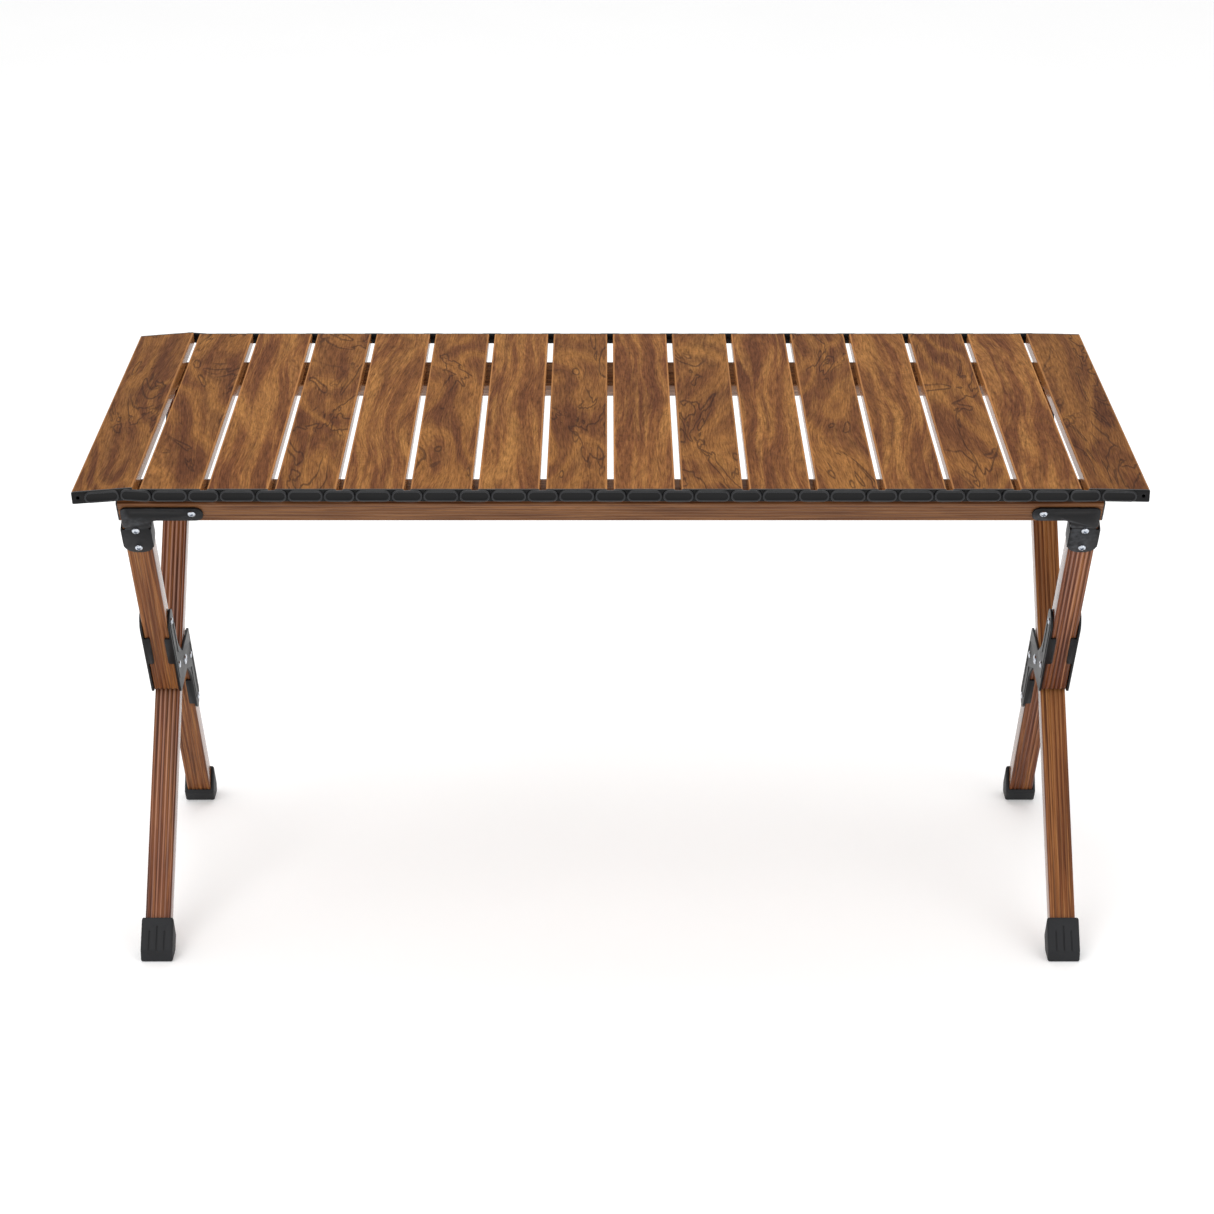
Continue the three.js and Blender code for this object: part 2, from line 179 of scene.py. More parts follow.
def rounded(corners, radius, steps=4, support=0.0):
    """A closed outline through corners, each one rounded with an arc of about that radius.

    Support adds a point that far beside each arc, so that the flat faces are shaded flat.
    """
    points = []
    count = len(corners)
    for i, corner in enumerate(corners):
        here = Vector(corner[:2])
        size = corner[2] if len(corner) > 2 else radius
        before = Vector(corners[i - 1][:2]) - here
        after = Vector(corners[(i + 1) % count][:2]) - here
        reach = min(size, before.length / 2.05, after.length / 2.05)
        start = here + before.normalized() * reach
        end = here + after.normalized() * reach
        if before.length > 2.05 * (reach + support) and support:
            points.append(start + before.normalized() * support)
        for step in range(steps + 1):
            t = step / steps
            points.append(start * (1 - t) ** 2 + here * 2 * t * (1 - t) + end * t ** 2)
        if after.length > 2.05 * (reach + support) and support:
            points.append(end + after.normalized() * support)
    return [(p.x, p.y) for p in points]


def box_outline(half_width, half_height, radius, steps=4, support=0.0):
    corners = [(-half_width, -half_height), (half_width, -half_height),
               (half_width, half_height), (-half_width, half_height)]
    return rounded(corners, radius, steps, support)


def stadium(length, height, inset=0, steps=10):
    """A closed outline with straight sides and half-round ends; inset moves it inwards."""
    radius = height / 2 - inset
    straight = (length - height) / 2
    points = []
    for side, start in ((1, -90), (-1, 90)):
        for step in range(steps + 1):
            angle = math.radians(start + 180 * step / steps)
            points.append((side * straight + radius * math.cos(angle), radius * math.sin(angle)))
    return points


def circle(radius, steps=24, centre=(0, 0)):
    turns = [2 * math.pi * step / steps for step in range(steps)]
    return [(centre[0] + radius * math.cos(a), centre[1] + radius * math.sin(a)) for a in turns]


def scaled(outline, x_scale, y_scale):
    return [(x * x_scale, y * y_scale) for x, y in outline]


def moved(outline, x, y):
    return [(a + x, b + y) for a, b in outline]


ALONG = {
    "x": lambda a, b, t: (t, a, b),
    "y": lambda a, b, t: (a, t, b),
    "z": lambda a, b, t: (a, b, t),
}


def skin(loops, axis, ring=False):
    """A solid whose skin runs through (outline, height) loops; ring joins the last loop to the first."""
    solid = bmesh.new()
    rows = [[solid.verts.new(ALONG[axis](a, b, t)) for a, b in outline] for outline, t in loops]
    count = len(rows[0])
    pairs = list(zip(rows, rows[1:]))
    if ring:
        pairs.append((rows[-1], rows[0]))
    else:
        solid.faces.new(rows[0])
        solid.faces.new(rows[-1])
    for low, high in pairs:
        for i in range(count):
            j = (i + 1) % count
            solid.faces.new((low[i], low[j], high[j], high[i]))
    bmesh.ops.recalc_face_normals(solid, faces=solid.faces)
    return solid


def prism(outline, axis, low, high):
    return skin([(outline, low), (outline, high)], axis)


def block(x0, x1, y0, y1, z0, z1):
    return prism([(x0, y0), (x1, y0), (x1, y1), (x0, y1)], "z", z0, z1)


def temporary(solid):
    mesh = bpy.data.meshes.new("tool")
    solid.to_mesh(mesh)
    solid.free()
    thing = bpy.data.objects.new("tool", mesh)
    bpy.context.scene.collection.objects.link(thing)
    return thing


def shaped(solid, joins=(), cuts=(), bevel=0, segments=2):
    """The solid with others joined to it and cut from it, then with its edges rounded."""
    target = temporary(solid)
    tools = []
    for group, operation in ((joins, "UNION"), (cuts, "DIFFERENCE")):
        for other in group:
            tool = temporary(other)
            step = target.modifiers.new("cut", "BOOLEAN")
            step.operation = operation
            step.solver = "EXACT"
            step.object = tool
            tools.append(tool)
    if bevel:
        edge = target.modifiers.new("edge", "BEVEL")
        edge.width = bevel
        edge.segments = segments
        edge.limit_method = "ANGLE"
        edge.angle_limit = math.radians(35)
        edge.use_clamp_overlap = True
    bpy.context.view_layer.update()
    evaluated = target.evaluated_get(bpy.context.evaluated_depsgraph_get())
    result = bmesh.new()
    result.from_mesh(evaluated.to_mesh())
    evaluated.to_mesh_clear()
    for thing in [target, *tools]:
        mesh = thing.data
        bpy.data.objects.remove(thing)
        bpy.data.meshes.remove(mesh)
    bmesh.ops.dissolve_degenerate(result, dist=0.001, edges=result.edges)
    bmesh.ops.remove_doubles(result, verts=result.verts, dist=0.0005)
    return result


def mirrored(solid, x_sign, y_sign):
    """The solid with X, Y or both reversed."""
    solid.transform(Matrix.Diagonal((x_sign, y_sign, 1, 1)))
    if x_sign * y_sign < 0:
        bmesh.ops.reverse_faces(solid, faces=solid.faces)
    return solid


def add_piece(name, solid, matrix, body, material, slot_name, seed=0.0, replaces=(), values=None):
    """Writes the solid as a mesh object, in metres, and puts it on its body.

    A wooden piece keeps its own axes, because its grain follows them. The values become attributes; each
    is a number, or a function of a point of the drawing.
    """
    for face in solid.faces:
        around = sum(edge.calc_length() for edge in face.edges)
        face.smooth = face.calc_area() < WIDEST_ROUNDING * around / 2
    points = [vertex.co.copy() for vertex in solid.verts]
    solid.transform(Matrix.Scale(MM, 4))
    if "woodgrain" not in slot_name:
        solid.transform(matrix)
        matrix = Matrix.Identity(4)
    mesh = bpy.data.meshes.new(name)
    solid.to_mesh(mesh)
    solid.free()
    mesh.set_sharp_from_angle(angle=math.radians(32))
    for key, value in {"seed": seed, **(values or {})}.items():
        layer = mesh.attributes.new(key, "FLOAT", "POINT")
        numbers = [value(point) if callable(value) else value for point in points]
        layer.data.foreach_set("value", numbers)
    mesh.materials.append(material)
    piece = bpy.data.objects.new(name, mesh)
    bpy.context.scene.collection.objects.link(piece)
    piece.matrix_world = matrix
    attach(piece, body)
    if replaces:
        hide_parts(*replaces)
    return piece


# --- materials ----------------------------------------------------------------------------------

class Nodes:
    """Short names for building a material's nodes."""

    def __init__(self, name):
        self.material = bpy.data.materials.new(name)
        self.material.use_nodes = True
        self.tree = self.material.node_tree
        self.shader = self.tree.nodes["Principled BSDF"]

    def add(self, kind, inputs=None, **settings):
        node = self.tree.nodes.new(kind)
        for key, value in settings.items():
            setattr(node, key, value)
        for key, value in (inputs or {}).items():
            self.put(node.inputs[key], value)
        return node

    def put(self, socket, value):
        if isinstance(value, bpy.types.NodeSocket):
            self.tree.links.new(value, socket)
        else:
            socket.default_value = value

    def math(self, operation, a, b=0.0):
        return self.add("ShaderNodeMath", {0: a, 1: b}, operation=operation).outputs[0]

    def attribute(self, name):
        return self.add("ShaderNodeAttribute", attribute_name=name).outputs["Fac"]

    def vector(self, operation, a, b):
        return self.add("ShaderNodeVectorMath", {0: a, 1: b}, operation=operation).outputs[0]

    def place(self, scale, seed=None):
        """Object coordinates, scaled, and shifted by the piece's seed."""
        where = self.add("ShaderNodeTexCoord").outputs["Object"]
        stretched = self.vector("MULTIPLY", where, scale)
        if seed is None:
            return stretched
        shift = self.add("ShaderNodeCombineXYZ", {0: seed, 1: self.math("MULTIPLY", seed, 2.7), 2: seed})
        return self.vector("ADD", stretched, shift.outputs[0])

    def swayed(self, where, scale, reach):
        """The place moved sideways along X by a slow wander, up to half of reach either way."""
        wander = self.noise(self.vector("MULTIPLY", where, scale), 2.0, 0.5)
        offset = self.math("MULTIPLY", self.math("SUBTRACT", wander, 0.5), reach)
        return self.vector("ADD", where, self.add("ShaderNodeCombineXYZ", {0: offset}).outputs[0])

    def contour(self, where, level, width, detail, distortion):
        """A share that is 1 along the line where a noise field has that level, of even width."""
        field = self.noise(where, detail, 0.6, distortion)
        slope = 0.0
        for step in ((width, 0, 0), (0, width, 0)):
            beside = self.noise(self.vector("ADD", where, step), detail, 0.6, distortion)
            slope = self.math("ADD", slope, self.math("ABSOLUTE", self.math("SUBTRACT", beside, field)))
        distance = self.math("ABSOLUTE", self.math("SUBTRACT", field, level))
        return self.level(self.math("DIVIDE", distance, self.math("ADD", slope, 0.0006)), 1.0, 0.35)

    def side_faces(self, axis):
        """A share that is 1 on faces square to the object's own axis."""
        normal = self.add("ShaderNodeTexCoord").outputs["Normal"]
        part = self.add("ShaderNodeSeparateXYZ", {0: normal}).outputs[axis]
        return self.level(self.math("ABSOLUTE", part), 0.75, 0.95)

    def noise(self, where, detail, roughness=0.5, distortion=0.0):
        """Noise of one wave per unit of the place, which the caller has scaled."""
        node = self.add("ShaderNodeTexNoise", {
            "Vector": where, "Scale": 1.0, "Detail": detail,
            "Roughness": roughness, "Distortion": distortion})
        return node.outputs["Fac"]

    def ramp(self, value, *stops):
        """A colour ramp; each stop is (position, colour)."""
        node = self.add("ShaderNodeValToRGB", {"Fac": value})
        points = node.color_ramp.elements
        while len(points) < len(stops):
            points.new(0.5)
        for point, (position, colour) in zip(points, stops):
            point.position = position
            point.color = (*colour, 1)
        return node.outputs["Color"]

    def level(self, value, low, high, start=0.0, end=1.0):
        node = self.add("ShaderNodeMapRange", {
            "Value": value, "From Min": low, "From Max": high, "To Min": start, "To Max": end})
        return node.outputs["Result"]

    def mix(self, share, a, b, blend="MIX"):
        node = self.add("ShaderNodeMix", {"Factor": share}, data_type="RGBA", blend_type=blend)
        self.put(node.inputs[6], a if isinstance(a, bpy.types.NodeSocket) else (*a, 1))
        self.put(node.inputs[7], b if isinstance(b, bpy.types.NodeSocket) else (*b, 1))
        return node.outputs[2]

    def bump(self, height, strength, distance):
        node = self.add("ShaderNodeBump", {"Height": height, "Strength": strength, "Distance": distance})
        self.put(self.shader.inputs["Normal"], node.outputs["Normal"])


def srgb(red, green, blue):
    """A colour as it is seen on a screen, 0 to 255, as linear light."""
    return tuple(
        c / 255 / 12.92 if c / 255 <= 0.04045 else ((c / 255 + 0.055) / 1.055) ** 2.4
        for c in (red, green, blue)
    )


def slat_material():
    """Walnut print: fibres along Y, warm patches, drawn-out figure, thin dark contours and loops.

    It reads a slat's attributes: seed, figured (1 for a figured slat, 0 for a plain one), tone (its
    brightness) and edge (1 along its two long edges, where a painted highlight lightens the wood).
    """
    n = Nodes("slat_woodgrain")
    seed = n.attribute("seed")
    figured = n.attribute("figured")
    tone = n.attribute("tone")
    here = n.swayed(n.place((1, 1, 1), seed), (5, 1.5, 0), 0.10)

    def at(x, y):
        return n.vector("MULTIPLY", here, (x, y, 0))

    # Slow warm and dark clouds.
    across = n.level(figured, 0, 1, 30, 15)
    length = n.level(figured, 0, 1, 2.0, 3.6)
    size = n.add("ShaderNodeCombineXYZ", {0: across, 1: length})
    clouds = n.noise(n.vector("MULTIPLY", here, size.outputs[0]), 2.5, 0.55, 0.8)
    wood = n.ramp(
        clouds,
        (0.30, srgb(88, 50, 28)), (0.43, srgb(105, 63, 35)),
        (0.55, srgb(120, 76, 40)), (0.70, srgb(139, 95, 50)),
    )

    # Long streaks, light and dark, strong on the plain slats.
    streaks = n.noise(at(85, 4.2), 4.0, 0.58, 0.5)
    streak_share = n.level(figured, 0, 1, 0.70, 0.42)
    light = n.math("MULTIPLY", n.level(streaks, 0.48, 0.68), streak_share)
    wood = n.mix(light, wood, srgb(160, 112, 60))
    dark = n.math("MULTIPLY", n.level(streaks, 0.50, 0.34), streak_share)
    wood = n.mix(dark, wood, srgb(84, 48, 27))

    # Sweeping ovals across the figured slats: golden bands between darker growth lines.
    sweep = n.noise(at(11, 2.9), 1.0, 0.4, 0.6)
    band = n.math("SINE", n.math("MULTIPLY", sweep, 36.0))
    gold = n.math("MULTIPLY", n.level(band, 0.0, 1.0), n.level(figured, 0, 1, 0.10, 0.46))
    wood = n.mix(gold, wood, srgb(156, 106, 54))
    growth = n.math("MULTIPLY", n.level(band, -0.3, -1.0), n.level(figured, 0, 1, 0.08, 0.34))
    wood = n.mix(growth, wood, srgb(82, 46, 27))
    hairs = n.math("SINE", n.math("MULTIPLY", sweep, 260.0))
    wood = n.mix(n.math("MULTIPLY", n.level(hairs, 0.1, 1.0), 0.14), wood, srgb(76, 44, 26))

    # Thin dark contours that wander, fold back and break off, and a few small drawn-out loops.
    weight = n.level(n.noise(at(12, 3.2), 1.0), 0.40, 0.50)
    line = n.contour(at(17, 4.6), 0.56, 0.018, 3.0, 0.8)
    line = n.math("MULTIPLY", n.math("MULTIPLY", line, weight), n.level(figured, 0, 1, 0.25, 0.95))
    loops = n.contour(at(38, 9.0), 0.70, 0.034, 1.0, 0.6)
    loops = n.math("MULTIPLY", loops, n.level(figured, 0, 1, 0.0, 0.9))
    marks = n.math("MAXIMUM", line, loops)
    wood = n.mix(n.math("MULTIPLY", marks, 0.68), wood, srgb(50, 27, 16))

    # Fibres and short pores.
    fibres = n.noise(at(560, 36), 4.0, 0.7)
    relief = n.ramp(fibres, (0.31, (0.20, 0.19, 0.18)), (0.69, (0.77, 0.77, 0.75)))
    wood = n.mix(0.85, wood, relief, "OVERLAY")
    pores = n.noise(at(420, 70), 2.0, 0.6)
    wood = n.mix(n.math("MULTIPLY", n.level(pores, 0.60, 0.74), 0.5), wood, srgb(60, 33, 19))
    # Painted highlight: a light line along the two long rounded edges.
    wood = n.mix(n.math("MULTIPLY", n.attribute("edge"), 0.55), wood, srgb(186, 130, 78))
    shade = n.add("ShaderNodeHueSaturation", {"Color": wood, "Value": tone})

    sides = n.side_faces("X")
    n.put(n.shader.inputs["Base Color"], shade.outputs["Color"])
    n.put(n.shader.inputs["Roughness"], n.level(fibres, 0.3, 0.7, 0.50, 0.38))
    n.put(n.shader.inputs["Specular IOR Level"], 0.015)
    n.put(n.shader.inputs["Coat Weight"], n.math("MULTIPLY", sides, 0.55))
    n.put(n.shader.inputs["Coat Roughness"], 0.14)
    n.bump(n.math("ADD", fibres, n.math("MULTIPLY", marks, -0.6)), 0.16, 0.0004)
    return n.material


def tube_material(name, along, side_axis, palette, side_coat):
    """Walnut print on the frame's tubes: long streaks and pores along one axis, smooth glossy sides.

    The palette holds the colours (dark, brown, warm, light, streak, line, painted highlight).
    It reads a tube's attributes: seed, the strength of the painted highlight on the lands between the
    grooves, and the painted shade that darkens its cut ends (1 there).
    """
    n = Nodes(name)
    seed = n.attribute("seed")
    dark, brown, warm, light, streak, line, painted_land_highlight = palette

    def stretch(across, length):
        return tuple(length if axis == along else across for axis in "xyz")

    broad = n.noise(n.place(stretch(60, 2.4), seed), 3.0, 0.55, 0.8)
    wood = n.ramp(broad, (0.30, dark), (0.46, brown), (0.60, warm), (0.74, light))
    streaks = n.noise(n.place(stretch(420, 7), seed), 3.0, 0.6, 0.3)
    wood = n.mix(n.math("MULTIPLY", n.level(streaks, 0.52, 0.38), 0.85), wood, streak)
    wood = n.mix(n.math("MULTIPLY", n.level(streaks, 0.55, 0.70), 0.60), wood, line)
    pores = n.noise(n.place(stretch(950, 60), seed), 3.0, 0.6)
    wood = n.mix(n.math("MULTIPLY", n.level(pores, 0.56, 0.70), 0.5), wood, streak)
    # Painted highlight: the lands between the grooves are painted in the palette's last colour.
    wood = n.mix(n.attribute("painted_land_highlight"), wood, painted_land_highlight)
    # Painted shade: the ends of a tube are painted nearly black, for the shade at its cut ends.
    wood = n.mix(n.attribute("painted_end_shade"), wood, srgb(26, 16, 12))
    sides = n.side_faces(side_axis)
    n.put(n.shader.inputs["Base Color"], wood)
    n.put(n.shader.inputs["Roughness"], n.level(streaks, 0.3, 0.7, 0.46, 0.34))
    n.put(n.shader.inputs["Specular IOR Level"], 0.16)
    n.put(n.shader.inputs["Coat Weight"], n.math("MULTIPLY", sides, side_coat))
    n.put(n.shader.inputs["Coat Roughness"], 0.12)
    n.bump(n.math("ADD", streaks, pores), 0.14, 0.0003)
    return n.material


def grained(name, dark, light, roughness, metallic=0.0, grain=1400.0, bump=0.25, edge_highlight=None, shine=0.5):
    """A moulded or coated surface: fine grain, slow colour change, and edges lightened by a painted
    highlight.

    With a highlight colour it paints that highlight on sharp edges, and reads the attribute rim, which is 1
    on the raised rims, to paint a faint highlight there too.
    """
    n = Nodes(name)
    cloud = n.noise(n.place((14, 14, 14)), 3.0, 0.5)
    fine = n.noise(n.place((grain, grain, grain)), 2.0, 0.55)
    colour = n.mix(n.level(cloud, 0.3, 0.7), dark, light)
    # Painted highlight: sharp edges, broken up by noise, and the raised rims are painted lighter.
    if edge_highlight:
        edge = n.add("ShaderNodeNewGeometry").outputs["Pointiness"]
        broken = n.noise(n.place((160, 160, 160)), 4.0, 0.6)
        share = n.math("MULTIPLY", n.level(edge, 0.52, 0.60), n.level(broken, 0.30, 0.62))
        colour = n.mix(n.math("MULTIPLY", share, 0.6), colour, edge_highlight)
        colour = n.mix(n.math("MULTIPLY", n.attribute("rim"), 0.14), colour, edge_highlight)
    n.put(n.shader.inputs["Base Color"], colour)
    n.put(n.shader.inputs["Metallic"], metallic)
    n.put(n.shader.inputs["Roughness"], n.level(cloud, 0.3, 0.7, roughness - 0.05, roughness + 0.06))
    n.put(n.shader.inputs["Specular IOR Level"], shine)
    n.bump(fine, bump, 0.0002)
    return n.material


# Each palette's last colour is the painted highlight on the lands between a tube's grooves.
GOLDEN = (srgb(100, 56, 33), srgb(124, 74, 41), srgb(142, 90, 49), srgb(162, 111, 62),
          srgb(78, 42, 25), srgb(174, 124, 74), srgb(184, 136, 92))
RUSSET = (srgb(88, 43, 26), srgb(110, 60, 33), srgb(128, 77, 40), srgb(150, 100, 52),
          srgb(60, 29, 18), srgb(172, 118, 72), srgb(206, 160, 140))
RAIL_BROWN = (srgb(104, 66, 40), srgb(116, 77, 47), srgb(128, 86, 53), srgb(140, 96, 60),
              srgb(82, 50, 30), srgb(148, 106, 68), srgb(156, 114, 78))
slat_wood = slat_material()
golden_wood = tube_material("golden_leg_woodgrain", "z", "X", GOLDEN, 0.6)
russet_wood = tube_material("russet_leg_woodgrain", "z", "X", RUSSET, 0.6)
rail_wood = tube_material("rail_woodgrain", "x", "Z", RAIL_BROWN, 0.1)
plastic = grained("cap_plastic", srgb(8, 8, 9), srgb(14, 14, 15), 0.34, grain=1100, bump=0.2,
                  edge_highlight=srgb(104, 105, 108), shine=0.2)
steel = grained("black_steel", srgb(8, 8, 10), srgb(14, 15, 17), 0.42, grain=1700, bump=0.3,
                edge_highlight=srgb(70, 72, 76), shine=0.16)
zinc = grained("zinc_steel", srgb(176, 182, 192), srgb(214, 219, 226), 0.26, 1.0, 900, 0.08)
rubber = grained("foot_rubber", srgb(20, 21, 23), srgb(32, 33, 36), 0.60, grain=800, bump=0.5, shine=0.3)


# --- the roll-up top ----------------------------------------------------------------------------

def centre_of(node):
    low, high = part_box(node)
    return Vector(((low.x + high.x) / 2, 0, (low.z + high.z) / 2))


def slat_section():
    return box_outline(SLAT_WIDTH / 2, SLAT_THICKNESS / 2, SLAT_CORNER, support=0.7)


def slat_tube():
    """A hollow extrusion with softened edges."""
    outer = slat_section()
    half_width = SLAT_WIDTH / 2
    half_height = SLAT_THICKNESS / 2
    inner = scaled(outer, 1 - SLAT_WALL / half_width, 1 - SLAT_WALL / half_height)
    end = SLAT_HALF_LENGTH - CAP_THICKNESS
    return skin([(outer, -end), (outer, end), (inner, end), (inner, -end)], "y", ring=True)


def lozenge(length, height, front, back):
    """A stadium-shaped plate with its front edge rounded, from front to back along Y."""
    return skin([
        (stadium(length, height, 1.0), front),
        (stadium(length, height, 0.35), front + 0.25),
        (stadium(length, height), front + 0.9),
        (stadium(length, height), back),
    ], "y")


def dish(length, height, front):
    """The shallow hollow inside a lozenge's rim."""
    return prism(stadium(length - 2 * DISH_RIM, height - 2 * DISH_RIM), "y", front - 1, front + DISH_DEPTH)


def cap_solid():
    """An end cap at the front end: a lid with a raised boss and two pin holes, and a plug in the slat."""
    face = -SLAT_HALF_LENGTH
    outer = slat_section()
    soft = scaled(outer, 0.985, 0.93)
    lid = skin([(soft, face), (outer, face + 0.5), (outer, face + CAP_THICKNESS - 0.05)], "y")
    plug = prism(scaled(outer, 0.94, 0.74), "y", face + 1, face + CAP_THICKNESS + CAP_PLUG)
    front = face - BOSS_THICKNESS
    boss = lozenge(BOSS_LENGTH, BOSS_HEIGHT, front, face + 0.8)
    holes = [prism(circle(PIN_HOLE_RADIUS, 20, (side * PIN_FROM_CENTRE, 0)), "y", face - 1, face + 14)
             for side in (-1, 1)]
    hollow = dish(BOSS_LENGTH, BOSS_HEIGHT, front)
    return shaped(lid, joins=[plug, boss], cuts=[*holes, hollow], bevel=MOULDED_BEVEL)


def link_solid():
    """A link plate with soft edges, a shallow dish and two pins behind it."""
    face = -SLAT_HALF_LENGTH - GAP
    front = -SLAT_HALF_LENGTH - BOSS_THICKNESS
    plate = lozenge(LINK_LENGTH, LINK_HEIGHT, front, face)
    pins = [prism(circle(PIN_RADIUS, 16, (side * PIN_SPACING / 2, 0)), "y", face - 0.5, face + 3.6)
            for side in (-1, 1)]
    return shaped(plate, joins=pins, cuts=[dish(LINK_LENGTH, LINK_HEIGHT, front)], bevel=MOULDED_BEVEL)


def facing_back(matrix):
    return matrix @ Matrix.Rotation(math.pi, 4, "Z")


def build_top():
    """The slats, alternately plain and figured between two darker end slats, and the links at both ends."""
    cap = cap_solid()
    # rim is 1 on the outer faces of the bosses and links, where the plastic paints a faint highlight.
    rim = {"rim": lambda point: float(abs(point.y) > SLAT_HALF_LENGTH + BOSS_THICKNESS - 0.25)}
    for number in range(1, SLAT_COUNT + 1):
        name = f"slat_{number:02d}"
        tilt = math.radians(END_TILTS.get(number, 0))
        matrix = Matrix.Translation(centre_of(name)) @ Matrix.Rotation(tilt, 4, "Y")
        plain = number % 2 == 1 and 1 < number < SLAT_COUNT
        values = {
            "figured": 0.0 if plain else 1.0,
            # edge is 1 along the long edges, where the slat material paints a highlight.
            "edge": lambda point: float(abs(point.x) > SLAT_WIDTH / 2 - 2),
            "tone": (PLAIN_TONE if plain else FIGURED_TONE) + 0.02 * math.sin(number * 2.3),
        }
        if number in END_TILTS:
            values["tone"] = END_TONE
        seed = SEED_STEP * number
        add_piece(f"{name}_extrusion", slat_tube(), matrix, name, slat_wood, "slat_woodgrain",
                  seed, [name], values)
        add_piece(f"{name}_front_cap", cap.copy(), matrix, name, plastic, "cap_plastic", seed, [name], rim)
        add_piece(f"{name}_back_cap", cap.copy(), facing_back(matrix), name, plastic, "cap_plastic",
                  seed, [name], rim)
    link = link_solid()
    for number in range(1, SLAT_COUNT):
        name = f"link_{number:02d}"
        rise = PIN_RISES.get(number, 0)
        tilt = math.asin(rise / PIN_SPACING) * (1 if number < SLAT_COUNT / 2 else -1)
        matrix = Matrix.Translation(centre_of(name)) @ Matrix.Rotation(tilt, 4, "Y")
        add_piece(f"{name}_front", link.copy(), matrix, name, plastic, "cap_plastic", replaces=[name],
                  values=rim)
        add_piece(f"{name}_back", link.copy(), facing_back(matrix), name, plastic, "cap_plastic", values=rim)


# --- the frame ----------------------------------------------------------------------------------

class LegFrame:
    """One leaned leg frame: where its tubes, rail and floor are in its own upright drawing."""

    def __init__(self, body, lean, outer_side, rail_outer, place):
        self.body = body
        self.lean = lean
        self.outer_side = outer_side
        self.place = place
        inner = rail_outer - outer_side * RAIL_DEPTH
        self.rail_outer = rail_outer
        self.rail_middle = (rail_outer + inner) / 2
        self.rail_top = self.along_leg(inner, SLAT_BOTTOM - GAP)
        self.rail_low = self.rail_top - RAIL_HEIGHT

    def along_leg(self, y, level):
        """The height, along the leaned leg, at which a point at local y meets a level plane."""
        return (level - PIVOT_HEIGHT - y * math.sin(self.lean)) / math.cos(self.lean)

    def matrix(self, x=0.0, y=0.0, z=0.0):
        lifted = Matrix.Translation((0, 0, PIVOT_HEIGHT * MM))
        leaned = Matrix.Rotation(self.lean, 4, "X")
        return lifted @ leaned @ Matrix.Translation(Vector((x, y, z)) * MM)

    def leg_end(self, y):
        return self.along_leg(y, 0) + LEG_END_IN_FOOT


frame_a = LegFrame("front_frame", LEAN_A, -1, -HALF_OFFSET_A - LEG_THICKNESS / 2, "front")
frame_b = LegFrame("back_frame", LEAN_B, 1, LEG_THICKNESS / 2, "back")


def fluted_outline(half_width, half_depth, flutes, pitch, depth):
    """A tube section with grooves along the two faces at plus and minus half_depth."""
    face = []
    mouth = pitch * 0.38
    floor = pitch * 0.17
    for flute in range(flutes):
        centre = (flute - (flutes - 1) / 2) * pitch
        face += [(centre - mouth, half_depth), (centre - floor, half_depth - depth),
                 (centre + floor, half_depth - depth), (centre + mouth, half_depth)]
    arc = []
    for step in range(5):
        angle = math.radians(90 - 90 * step / 4)
        arc.append((half_width - TUBE_CORNER + TUBE_CORNER * math.cos(angle),
                    half_depth - TUBE_CORNER + TUBE_CORNER * math.sin(angle)))
    top = face + arc
    bottom = [(-x, -y) for x, y in top]
    left_arc = [(-x, y) for x, y in reversed(arc)]
    right_arc = [(x, -y) for x, y in reversed(arc)]
    return left_arc + top + right_arc + bottom


def leg_tube(z0, z1):
    """A hollow fluted tube, with a narrow band at each end for the painted shade at its cut ends."""
    outer = fluted_outline(LEG_WIDTH / 2, LEG_THICKNESS / 2, FLUTES, FLUTE_PITCH, LEG_FLUTE_DEPTH)
    inner = scaled(outer, 0.89, 0.86)
    soft = scaled(outer, 0.985, 0.98)
    loops = [(inner, z0), (soft, z0), (outer, z0 + 0.4), (outer, z0 + 1.4),
             (outer, z1 - 1.4), (outer, z1 - 0.4), (soft, z1), (inner, z1)]
    return skin(loops, "z", ring=True)


def add_leg(name, leg_frame, y, z0, z1, seed, woods, painted_land_highlight):
    """One leg tube on each side; woods and the painted highlight's strengths hold the left and right one's.
    """
    # The tube's ends are painted dark: a painted shade at the cut ends.
    def in_painted_end_shade(point):
        return float(min(abs(point.z - z0), abs(point.z - z1)) < 1)

    for (side_name, side), wood, strength in zip(SIDES, woods, painted_land_highlight):
        def painted_highlight_on_land(point, strength=strength):
            """The lands between the grooves are painted lighter, a painted highlight, most of all near the
            top.
            """
            share = strength * (1.0 if point.z > z1 - 2 else 0.3)
            raised = abs(point.y) > LEG_THICKNESS / 2 - 0.3
            return share * float(raised and abs(point.x) < LEG_WIDTH / 2 - 2)

        add_piece(f"{name}_{side_name}_tube", leg_tube(z0, z1), leg_frame.matrix(side * LEG_X, y),
                  leg_frame.body, wood, "frame_woodgrain", seed + side, [f"{name}_{side_name}"],
                  {"painted_land_highlight": painted_highlight_on_land, "painted_end_shade": in_painted_end_shade})


